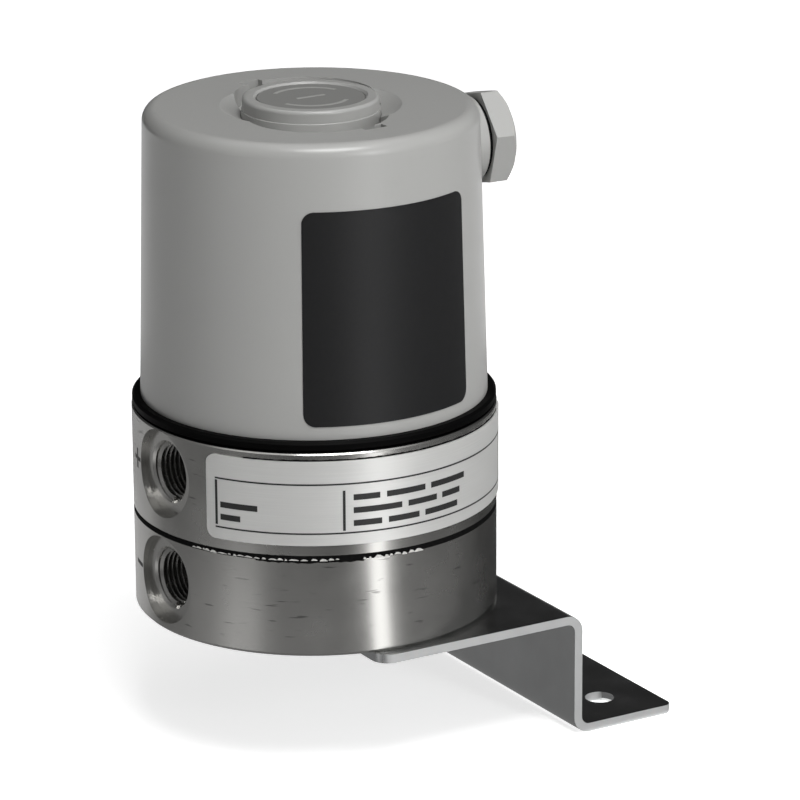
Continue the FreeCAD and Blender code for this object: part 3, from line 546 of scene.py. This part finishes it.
class TRANSMITTER_OT_chambers(bpy.types.Operator):
    """Finish both pressure chambers and cut the threads of their ports"""

    bl_idname = "transmitter.chambers"
    bl_label = "Chambers and port threads"

    def execute(self, context):
        wear(turned_nickel(), "lower_chamber", "upper_chamber")
        material = thread_nickel()
        size = context.scene.transmitter_details
        for port in ("lower_port", "upper_port"):
            smooth(new_piece(port + "_thread", *port_thread(MOUNTS[port], size), material, "chambers",
                             "nickel_plated_brass"))
        # Painted shade: a nearly black fill in the seam's groove and along the rating plate's upper edge
        darkening = painted_groove_shade()
        new_piece("seam_line", *seam_line(size.seed), darkening, "chambers", "nickel_plated_brass")
        new_piece("plate_edge_shadow", *plate_edge_shadow(size.seed), darkening, "chambers", "nickel_plated_brass")
        new_piece("seam_burrs", *joined(seam_burrs(size.seed)), glinting_burr_nickel(), "chambers",
                  "nickel_plated_brass")
        return {"FINISHED"}


def port_thread(mount, size):
    """Thread ridge in a port, from just behind its mouth inwards."""
    sunk, foot_share, tip_share, start_share = 0.05 * MM, 0.47, 0.07, 0.55
    radius, length = mount["dims"]["r_mm"] * MM, mount["dims"]["length_mm"] * MM
    mouth = Vector(mount["pos_m"]) + Vector(mount["axis"]) * length / 2
    inward = [-c for c in mount["axis"]]
    root, crest = radius + sunk, radius - size.thread_depth
    foot, tip = foot_share * size.thread_pitch, tip_share * size.thread_pitch
    section = [(root, -foot), (root, foot), (crest, tip), (crest, -tip)]
    return helix(axis_frame(mouth, inward), size.thread_turns, size.thread_pitch, section,
                 start=size.thread_pitch * start_share)


def seam_line(seed):
    """Painted shade in the groove between the chambers: a dark, uneven line that stands proud over the
    chamfer in front.
    """
    count, back, sunk, proud = 360, CHAMBER_R - 0.6 * MM, CHAMBER_R - 0.03 * MM, CHAMBER_R + 0.015 * MM
    shaded_start, shaded_end, wide_start, wide_end = -139, -104, -90, 60
    draw = random.Random(seed)
    sections = []
    for k in range(count):
        azimuth = 360 * k / count - 180
        shaded_over_chamfer = shaded_start < azimuth < shaded_end
        wide = 1.5 if shaded_over_chamfer or wide_start < azimuth < wide_end else 1.0
        down = draw.uniform(0.42, 0.56) * wide * MM
        up = draw.uniform(0.24, 0.36) * wide * MM
        sections.append(band(back, proud if shaded_over_chamfer else sunk, azimuth, SEAM - down, SEAM + up))
    return closed(sections)


def seam_burrs(seed):
    """Small pale burrs that the tool left in the seam, where the photo shows them."""
    # The burrs' shape is their own; their pale colour is painted glint
    inner, foot, crown = CHAMBER_R - 0.1 * MM, CHAMBER_R + 0.06 * MM, CHAMBER_R + 0.03 * MM
    # How tall a burr stands at shares of its length
    outline = ((0, 0.2), (0.3, 1.0), (0.7, 0.8), (1, 0.2))
    draw = random.Random(seed)
    burrs = []
    for azimuth, end, middle, tallest in ((-161.0, -112.0, 0.18, 0.42), (-105.0, -86.0, 0.3, 0.6)):
        while azimuth < end:
            length, rise = draw.uniform(0.6, 3.4), draw.uniform(0.4, 1.0) * tallest * MM
            low = SEAM - draw.uniform(0.7, 1.3) * middle * MM - rise / 2
            burrs.append(swept([band(inner, foot, azimuth + length * share, low, low + rise * size, crown)
                                for share, size in outline]))
            azimuth += length + draw.uniform(0.0, 1.0)
    return burrs


def plate_edge_shadow(seed):
    """Painted shadow of uneven width along the rating plate's upper edge, below the chamber's chamfer."""
    inner, face = CHAMBER_R - 0.1 * MM, CHAMBER_R + 0.03 * MM
    draw = random.Random(seed)
    return swept([band(inner, face, azimuth, plate_high.z, plate_high.z + draw.uniform(0.18, 0.34) * MM)
                  for azimuth in range(-142, -36)])


def painted_gasket_shadow():
    """Thin black ring in the seal's rubber over the chamber's chamfer: painted shadow under the gasket, so
    that the black band reads wider.
    """
    steps = 180
    # How far in from the chamber's side and how far down the outline's corners lie, in millimetres
    outline = ((1.2, 0), (0.75, 0.3), (0.3, 0.45), (0.15, 0))
    return closed([[on_body(CHAMBER_R - inward * MM, 360 * k / steps, gasket_low.z - down * MM)
                    for inward, down in outline] for k in range(steps)])


class TRANSMITTER_OT_bracket(bpy.types.Operator):
    """Finish the bracket, its screws and the other steel parts"""

    bl_idname = "transmitter.bracket"
    bl_label = "Bracket and screws"

    def execute(self, context):
        wear(plated_sheet(), "bracket")
        wear(plain_steel(), "bracket_screws", "bracket_washers", "clamp_screws", "retainer_screws",
             "board_screws", "retainer_plate", "centre_stud", "knob_clip", "thrust_washer", "push_rod",
             "rod_nut", "lower_support_plate", "upper_support_plate", "terminal_screws")
        return {"FINISHED"}


class TRANSMITTER_OT_seals(bpy.types.Operator):
    """Finish the rubber parts"""

    bl_idname = "transmitter.seals"
    bl_label = "Seals"

    def execute(self, context):
        rubber = seal_rubber()
        wear(rubber, "cover_gasket", "entry_gasket", "entry_rubber", "knob_seal", "diaphragm",
             "sensor_o_ring")
        # Painted shadow under the gasket, in the seal's rubber
        smooth(new_piece("painted_gasket_shadow", *painted_gasket_shadow(), rubber, "chambers", "black_rubber"))
        return {"FINISHED"}


class TRANSMITTER_OT_cover(bpy.types.Operator):
    """Finish the cover, its panel, the knob and the entry nut"""

    bl_idname = "transmitter.cover"
    bl_label = "Cover, panel and knob"

    def execute(self, context):
        grey = moulded("moulded_grey_polycarbonate", "cover", 0.30, 0.35, 0.04)
        dark = moulded("moulded_dark_polycarbonate", "insert", 0.45, 0.35, 0.08)
        wear(grey, "cover", "cover_knob")
        wear(dark, "knob_insert")
        smooth(new_piece("knob_skirt", *knob_skirt(), grey, "knob", "grey_moulded_plastic"))
        smooth(new_piece("knob_cap", *round_solid(knob_cap_outline()), dark, "knob", "dark_insert_plastic"))
        new_piece("knob_marks", *joined(knob_marks()), grey, "knob", "grey_moulded_plastic")
        wear(moulded("moulded_grey_polyamide", "nut", 0.42, 0.4, 0.08), "entry_nut")
        wear(printed_film(), "front_panel")
        return {"FINISHED"}


def round_solid(outline, steps=96):
    """Solid turned about the body's axis from (radius, height) points that start and end on it."""
    inner = outline[1:-1]
    vertices = [on_body(0, 0, outline[0][1]), on_body(0, 0, outline[-1][1])]
    for k in range(steps):
        vertices += [on_body(radius, 360 * k / steps, height) for radius, height in inner]
    count = len(inner)
    faces = []
    for k in range(steps):
        a, b = 2 + k * count, 2 + (k + 1) % steps * count
        faces.append((0, b, a))
        faces += [(a + j, b + j, b + j + 1, a + j + 1) for j in range(count - 1)]
        faces.append((1, a + count - 1, b + count - 1))
    return vertices, faces


def knob_skirt():
    """Lower half of the knob's wall, which stands out a little and ends in a crease."""
    steps = 144
    low, high, edge = knob_high.z - 5.0 * MM, knob_high.z - 2.1 * MM, 0.08 * MM
    inner, outer = KNOB_R - 0.1 * MM, KNOB_R + 0.16 * MM
    outline = ((inner, low), (outer, low), (outer, high - edge), (outer - edge, high), (inner, high))
    return closed([[on_body(radius, 360 * k / steps, height) for radius, height in outline]
                   for k in range(steps)])


def knob_cap_outline():
    """Outline of the flat disc that fills the knob's cup nearly flush."""
    low, high, edge = insert_low.z + 0.3 * MM, knob_high.z - 0.25 * MM, 0.15 * MM
    radius = INSERT_R - 0.05 * MM
    return [(0, low), (radius, low), (radius, high - edge), (radius - edge, high), (0, high)]


def knob_marks():
    """Plain paler marks on the knob's disc: two arcs and a short bar between them."""
    low, tall = knob_high.z - 0.27 * MM, 0.05 * MM
    arc_r, arc_thick, arc_turn = 5.9 * MM, 0.7 * MM, 110
    bar_half, bar_thin = 2.6 * MM, 0.35 * MM
    arcs = [curved_strip(arc_r, arc_thick, start, start + arc_turn, low, low + tall) for start in (20, 200)]
    return arcs + [box_solid(AXIS + Vector((0, 0, low)), (bar_half, bar_thin, tall))]


def box_solid(place, half):
    """Box with its foot at a place, from half its length and width and its full height."""
    x, y, tall = half
    return swept([[place + Vector((sx * x, sy * y, z)) for sx, sy in ((-1, -1), (1, -1), (1, 1), (-1, 1))]
                  for z in (0, tall)])


class TRANSMITTER_OT_plate(bpy.types.Operator):
    """Finish the rating plate and print plain lines and bars on it"""

    bl_idname = "transmitter.plate"
    bl_label = "Rating plate"

    def execute(self, context):
        wear(plate_foil(), "rating_plate")
        size = context.scene.transmitter_details
        solids = [curved_strip(PLATE_R, size.ink_height, *field) for field in plate_lines(size.line_width)]
        solids += [curved_strip(PLATE_R, size.ink_height, *field) for field in plate_bars()]
        smooth(new_piece("plate_print", *joined(solids), printing_ink(), "chambers", "printed_foil"))
        return {"FINISHED"}


def plate_lines(width):
    """The plate's frame and dividers as (start, end, low, high), azimuths in degrees."""
    middle = (plate_low.z + plate_high.z) / 2
    low, high = middle - 5.1 * MM, middle + 3.25 * MM
    left, right, divider, box = -151.4, -32.0, -111.3, -37.0
    thin = math.degrees(width / PLATE_R)
    return [
        (left, right, high - width / 2, high + width / 2),
        (left, right, low - width / 2, low + width / 2),
        (left, left + thin * 1.6, low + 0.4 * MM, high - 0.3 * MM),
        (divider, divider + thin * 1.6, low + 0.4 * MM, high - 1.1 * MM),
        (box, box + thin, low, high),
    ]


def plate_bars():
    """Rows of plain bars in the plate's fields, worked out from a row's height and a bar's length."""
    middle = (plate_low.z + plate_high.z) / 2
    rows = [
        (-149.6, [11.0, 0, 0], middle - 1.2 * MM),
        (-149.6, [6.0, 0, 0], middle - 3.3 * MM),
        (-108.0, [7.5, 12.0, 13.0], middle + 0.9 * MM),
        (-108.0, [14.0, 9.5, 7.0], middle - 1.3 * MM),
        (-108.0, [8.0, 9.5, 12.0], middle - 3.5 * MM),
    ]
    tall, gap = 1.0 * MM, 2.2
    fields = []
    for start, lengths, height in rows:
        for length in lengths:
            if length:
                turn = math.degrees(length * 0.6 * MM / PLATE_R)
                fields.append((start, start + turn, height - tall / 2, height + tall / 2))
                start += turn + gap
    return fields


class TRANSMITTER_OT_marks(bpy.types.Operator):
    """Stamp a plain plus and minus beside the ports"""

    bl_idname = "transmitter.marks"
    bl_label = "Plus and minus marks"

    def execute(self, context):
        azimuth, half, stroke = 166.0, 1.7 * MM, 0.35 * MM
        turn, thin = math.degrees(half / CHAMBER_R), math.degrees(stroke / CHAMBER_R)
        radius, proud = CHAMBER_R - 0.05 * MM, 0.06 * MM
        upper, lower = (MOUNTS[name]["pos_m"][2] for name in ("upper_port", "lower_port"))
        solids = [
            curved_strip(radius, proud, azimuth - turn, azimuth + turn, upper - stroke, upper + stroke),
            curved_strip(radius, proud, azimuth - thin, azimuth + thin, upper + stroke, upper + half),
            curved_strip(radius, proud, azimuth - thin, azimuth + thin, upper - half, upper - stroke),
            curved_strip(radius, proud, azimuth - turn, azimuth + turn, lower - stroke, lower + stroke),
        ]
        new_piece("port_marks", *joined(solids), stamped_groove(), "chambers", "nickel_plated_brass")
        return {"FINISHED"}


class TRANSMITTER_OT_board(bpy.types.Operator):
    """Finish the circuit board and what it carries"""

    bl_idname = "transmitter.board"
    bl_label = "Circuit board"

    def execute(self, context):
        wear(board_laminate(), "circuit_board")
        wear(drawn_brass(), "standoffs", "sensor_pins", "zero_trimmer_rotor", "span_trimmer_rotor")
        wear(can_aluminium(), "capacitors")
        wear(moulded("moulded_green_polyamide", "terminal", 0.42, 0.3, 0.1), "terminal_block")
        wear(moulded("moulded_blue_thermoset", "trimmer", 0.4, 0.3, 0.08), "zero_trimmer_body",
             "span_trimmer_body")
        wear(moulded("moulded_black_epoxy", "chip", 0.5, 0.25, 0.15), "signal_chip", "ribbon_plug",
             "small_components")
        ceramic = fired_ceramic()
        wear(ceramic, "ceramic_beam", "sensor_carrier")
        wear(flat_lead(), "ribbon")
        new_piece("solder_pads", *joined(solder_pads()), plain_solder(), "chambers", "can_aluminium")
        new_piece("board_outlines", *joined(board_outlines()), ceramic, "chambers", "white_ceramic")
        ink = bpy.data.materials.get("black_printing_ink") or printing_ink()
        new_piece("can_marks", *joined(can_marks()), ink, "chambers", "black_moulding")
        smooth(new_piece("stud_thread", *stud_thread(context.scene.transmitter_details.stud_pitch),
                         frame["nodes"]["centre_stud"].data.materials[0], "chambers", "stainless_steel"))
        return {"FINISHED"}


def stud_thread(pitch):
    """Thread ridge along the upper end of the centre stud."""
    turns, length, sunk, proud, half_foot = 13, 14 * MM, 0.1 * MM, 0.05 * MM, 0.3 * MM
    radius = shank_radius("centre_stud", 5 * MM)
    ridge = [(radius - sunk, -half_foot), (radius - sunk, half_foot), (radius + proud, 0)]
    return helix(axis_frame(AXIS + Vector((0, 0, STUD_TOP - length)), (0, 0, 1)), turns, pitch, ridge)


def shank_radius(name, depth):
    """Radius of a turned piece near its top, read off its mesh."""
    node = frame["nodes"][name]
    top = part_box(name)[1].z - depth
    points = [node.matrix_world @ vertex.co - AXIS for vertex in node.data.vertices]
    return max(math.hypot(point.x, point.y) for point in points if point.z > top)


# Places of the small parts on the board, in millimetres from the body's axis
SMALL_PLACES = ((-6.5, 9.0), (-9.5, 9.0), (-14.5, 8.5), (-6.0, -9.0), (-9.0, -9.5), (-13.5, -9.0))
CAN_PLACES = ((-1.5, 15.0), (6.5, 14.0))


def on_board(x, y, height=0.0):
    """Point on the board's top from a place in millimetres."""
    return AXIS + Vector((x * MM, y * MM, BOARD_TOP + height))


def solder_pads():
    """Solder at both ends of each small part, and a row of pads beside the terminal block."""
    end_pad, row_pad = (0.75 * MM, 0.35 * MM, 0.22 * MM), (0.6 * MM, 0.6 * MM, 0.2 * MM)
    ends = [box_solid(on_board(x, y + side * 1.4), end_pad) for x, y in SMALL_PLACES for side in (-1, 1)]
    return ends + [box_solid(on_board(5.6, 5.0 * k), row_pad) for k in (-1, 0, 1)]


def board_outlines():
    """Printed outlines round the small parts."""
    thin, tall = 0.08 * MM, 0.02 * MM
    half_x, half_y = 1.1, 2.0
    solids = []
    for x, y in SMALL_PLACES:
        for side in (-1, 1):
            solids.append(box_solid(on_board(x + side * half_x, y), (thin, half_y * MM, tall)))
            solids.append(box_solid(on_board(x, y + side * half_y), (half_x * MM, thin, tall)))
    return solids


def can_marks():
    """Dark bar across the top of each capacitor can, near its edge."""
    half, sunk, aside = (0.5 * MM, 1.7 * MM, 0.03 * MM), 0.01 * MM, 1.7
    return [box_solid(AXIS + Vector(((x - aside) * MM, y * MM, CAN_TOP - sunk)), half)
            for x, y in CAN_PLACES]


class TRANSMITTER_OT_stage(bpy.types.Operator):
    """Set up the floor, the lamps, the world and the camera"""

    bl_idname = "transmitter.stage"
    bl_label = "Studio"

    def execute(self, context):
        floor()
        lamps(context.scene.transmitter_studio)
        world(context.scene.transmitter_studio)
        camera(context.scene.transmitter_studio)
        context.scene.view_settings.view_transform = "Standard"
        return {"FINISHED"}


def seen_rays(tree):
    """1 for camera, glossy and transmission rays, and 0 for the rest."""
    path = add(tree, "ShaderNodeLightPath").outputs
    both = add(tree, "ShaderNodeMath", {0: path["Is Camera Ray"], 1: path["Is Glossy Ray"]},
               operation="MAXIMUM")
    return add(tree, "ShaderNodeMath", {0: both.outputs[0], 1: path["Is Transmission Ray"]},
               operation="MAXIMUM").outputs[0]


def floor():
    """Pale floor that keeps the part's shadow and runs into the white background."""
    half, seen_glow = 4.0, 0.68
    mesh = bpy.data.meshes.new("floor")
    corners = [(-half, -half, 0), (half, -half, 0), (half, half, 0), (-half, half, 0)]
    mesh.from_pydata(corners, [], [(0, 1, 2, 3)])
    material, tree, shader, _ = begin("pale_floor")
    feed(tree, shader, {"Base Color": colour("floor"), "Roughness": 0.9, "Specular IOR Level": 0.0,
                        "Emission Color": (1, 1, 1, 1)})
    lift = add(tree, "ShaderNodeMath", {0: seen_rays(tree), 1: seen_glow}, operation="MULTIPLY").outputs[0]
    feed(tree, shader, {"Emission Strength": lift})
    mesh.materials.append(material)
    piece = bpy.data.objects.new("floor", mesh)
    bpy.context.scene.collection.objects.link(piece)


def world(setup):
    """White to the camera, in reflections and through glass; else a soft light, stronger on one side."""
    sky = bpy.data.worlds.new("studio_world")
    sky.use_nodes = True
    bpy.context.scene.world = sky
    tree = sky.node_tree
    way = add(tree, "ShaderNodeTexCoord").outputs["Generated"]
    facing = add(tree, "ShaderNodeVectorMath", {0: way, 1: view_vector(setup.soft_azimuth, math.radians(10))},
                 operation="DOT_PRODUCT").outputs["Value"]
    soft = spread(tree, facing, (setup.fill - setup.slope, setup.fill + setup.slope), (-1.0, 1.0))
    lit = add(tree, "ShaderNodeMath", {0: soft, 1: 0.0}, operation="MAXIMUM").outputs[0]
    level = spread(tree, seen_rays(tree), (lit, 1.0))
    feed(tree, tree.nodes["Background"], {"Color": (1, 1, 1, 1), "Strength": level})


def view_vector(azimuth, elevation):
    """Unit vector from the aim towards a viewer, azimuth 0 being the front."""
    return Vector((math.sin(azimuth) * math.cos(elevation), -math.cos(azimuth) * math.cos(elevation),
                   math.sin(elevation)))


def look(place, aim, roll=0.0):
    """Rotation of a camera or lamp that stands at a place and looks at an aim."""
    turn = (aim - place).to_track_quat("-Z", "Y").to_matrix()
    return (turn @ Matrix.Rotation(roll, 3, "Z")).to_4x4()


def soft_lamp(name, azimuth, elevation, distance, width, height, power):
    """Rectangular soft lamp round the middle of the part."""
    aim = AXIS + Vector((0, 0, 55 * MM))
    data = bpy.data.lights.new(name, "AREA")
    data.shape = "RECTANGLE"
    data.size, data.size_y, data.energy = width, height, power
    lamp = bpy.data.objects.new(name, data)
    place = aim + view_vector(azimuth, elevation) * distance
    lamp.matrix_world = Matrix.Translation(place) @ look(place, aim)
    bpy.context.scene.collection.objects.link(lamp)


# Levels of the studio's table and walls as the metal reflects them, by azimuth in degrees
# about the body's axis from +X: a dull table with a bright strip in front and a softer one
# at the left, nearly black on the bracket's side, and pale behind
MIDDLE_LEVELS = (
    (-180, 0.38), (-172, 0.55), (-165, 0.78), (-155, 0.76), (-146, 0.42), (-138, 0.31), (-107, 0.26),
    (-97, 0.34), (-91, 0.6), (-88, 2.3), (-82, 2.3), (-78.5, 0.7), (-72, 0.33), (-65, 0.27), (-55, 0.23),
    (-45, 0.19), (-34, 0.16), (-21, 0.11), (-5, 0.04), (40, 0.04), (60, 0.3), (90, 0.55), (122, 0.5),
    (140, 0.2), (160, 0.22), (180, 0.38),
)
FAR_LEVELS = (
    (-180, 0.12), (-160, 0.05), (-105, 0.05), (-96, 0.2), (-91, 0.5), (-88, 2.0), (-82, 2.0), (-78.5, 0.6),
    (-70, 0.16), (-60, 0.12), (0, 0.1), (15, 0.1), (60, 0.3), (120, 0.4), (150, 0.1), (180, 0.12),
)
WALL_LEVELS = (
    (-180, 0.3), (-150, 0.18), (-100, 0.18), (-78, 1.0), (-60, 0.25), (0, 0.12), (20, 0.03), (100, 0.03),
    (130, 0.2), (180, 0.3),
)
BACK_LEVELS = (
    (-180, 0.2), (-100, 0.15), (-91, 1.2), (-80, 1.4), (-72, 0.2), (0, 0.3), (35, 0.9), (90, 0.9), (130, 0.5),
    (180, 0.2),
)
NEAR_LEVELS = ((-180, 0.22), (180, 0.22))
TOP_LEVEL = 2.5


def surround(name, rings, levels):
    """Round screen about the body's axis that only reflections see, with its own level at each azimuth."""
    count = 96
    vertices, faces = [], []
    for radius, height in rings:
        for k in range(count):
            angle = 2 * math.pi * k / count
            vertices.append((radius * math.cos(angle), radius * math.sin(angle), height))
    for ring in range(len(rings) - 1):
        for k in range(count):
            a, b = ring * count + k, ring * count + (k + 1) % count
            faces.append((a, b, b + count, a + count))
    mesh = bpy.data.meshes.new(name)
    mesh.from_pydata(vertices, [], faces)
    material = bpy.data.materials.new(name)
    material.use_nodes = True
    tree = material.node_tree
    place = add(tree, "ShaderNodeTexCoord").outputs["Object"]
    split = add(tree, "ShaderNodeSeparateXYZ", {0: place}).outputs
    angle = add(tree, "ShaderNodeMath", {0: split[1], 1: split[0]}, operation="ARCTAN2").outputs[0]
    share = spread(tree, angle, (0.0, 1.0), (-math.pi, math.pi))
    ramp = add(tree, "ShaderNodeValToRGB", {0: share})
    stops = ramp.color_ramp.elements
    while len(stops) < len(levels):
        stops.new(0.5)
    for stop, (azimuth, level) in zip(stops, levels):
        stop.position = (azimuth + 180) / 360
        stop.color = [level / TOP_LEVEL] * 3 + [1]
    glow = add(tree, "ShaderNodeEmission", {"Color": ramp.outputs[0], "Strength": TOP_LEVEL})
    feed(tree, tree.nodes["Material Output"], {"Surface": glow.outputs[0]})
    mesh.materials.append(material)
    screen = bpy.data.objects.new(name, mesh)
    screen.location = AXIS
    screen.visible_camera = screen.visible_diffuse = False
    screen.visible_shadow = screen.visible_transmission = False
    bpy.context.scene.collection.objects.link(screen)


def lamps(setup):
    """Tall soft lamp at the front right, soft box in front overhead, and the screens that metal reflects."""
    soft_lamp("key_lamp", setup.key_azimuth, math.radians(16), 0.9, 0.12, 0.3, setup.key_power)
    soft_lamp("top_lamp", setup.azimuth + math.radians(22), math.radians(62), 0.8, 0.4, 0.3, setup.top_power)
    low, rim = 0.4 * MM, 0.6
    rings = (0, 65 * MM, 135 * MM, 230 * MM, rim)
    for k, (name, levels) in enumerate((("near_screen", NEAR_LEVELS), ("middle_screen", MIDDLE_LEVELS),
                                        ("far_screen", FAR_LEVELS), ("back_screen", BACK_LEVELS))):
        surround(name, [(rings[k], low), (rings[k + 1], low)], levels)
    surround("wall_screen", [(rim, low), (rim, 0.9)], WALL_LEVELS)


def camera(setup):
    """Camera at the photograph's angle."""
    aim = Vector((-0.03007, -0.007315, 0.055642))
    place = aim + view_vector(setup.azimuth, setup.elevation) * setup.distance
    data = bpy.data.cameras.new("camera")
    data.lens, data.sensor_width = setup.lens, 36.0
    eye = bpy.data.objects.new("camera", data)
    eye.matrix_world = Matrix.Translation(place) @ look(place, aim, setup.roll)
    bpy.context.scene.collection.objects.link(eye)
    bpy.context.scene.camera = eye


class TRANSMITTER_PT_panel(bpy.types.Panel):
    """Lists the steps that dress the transmitter"""

    bl_label = "Transmitter"
    bl_space_type = "VIEW_3D"
    bl_region_type = "UI"
    bl_category = "Transmitter"

    def draw(self, context):
        for step in STEPS:
            self.layout.operator(step.bl_idname)


STEPS = (
    TRANSMITTER_OT_chambers, TRANSMITTER_OT_bracket, TRANSMITTER_OT_seals, TRANSMITTER_OT_cover,
    TRANSMITTER_OT_plate, TRANSMITTER_OT_marks, TRANSMITTER_OT_board, TRANSMITTER_OT_stage,
)
GROUPS = {
    "transmitter_colours": TransmitterColours,
    "transmitter_details": TransmitterDetails,
    "transmitter_studio": TransmitterStudio,
}


def register():
    for kind in (*GROUPS.values(), *STEPS, TRANSMITTER_PT_panel):
        bpy.utils.register_class(kind)
    for name, group in GROUPS.items():
        setattr(bpy.types.Scene, name, PointerProperty(type=group))


def unregister():
    for name in GROUPS:
        delattr(bpy.types.Scene, name)
    for kind in (TRANSMITTER_PT_panel, *reversed(STEPS), *reversed(tuple(GROUPS.values()))):
        bpy.utils.unregister_class(kind)


def main():
    """Dress the part step by step."""
    register()
    for step in (
        bpy.ops.transmitter.chambers, bpy.ops.transmitter.bracket, bpy.ops.transmitter.seals,
        bpy.ops.transmitter.cover, bpy.ops.transmitter.plate, bpy.ops.transmitter.marks,
        bpy.ops.transmitter.board, bpy.ops.transmitter.stage,
    ):
        step()


if __name__ == "__main__":
    main()
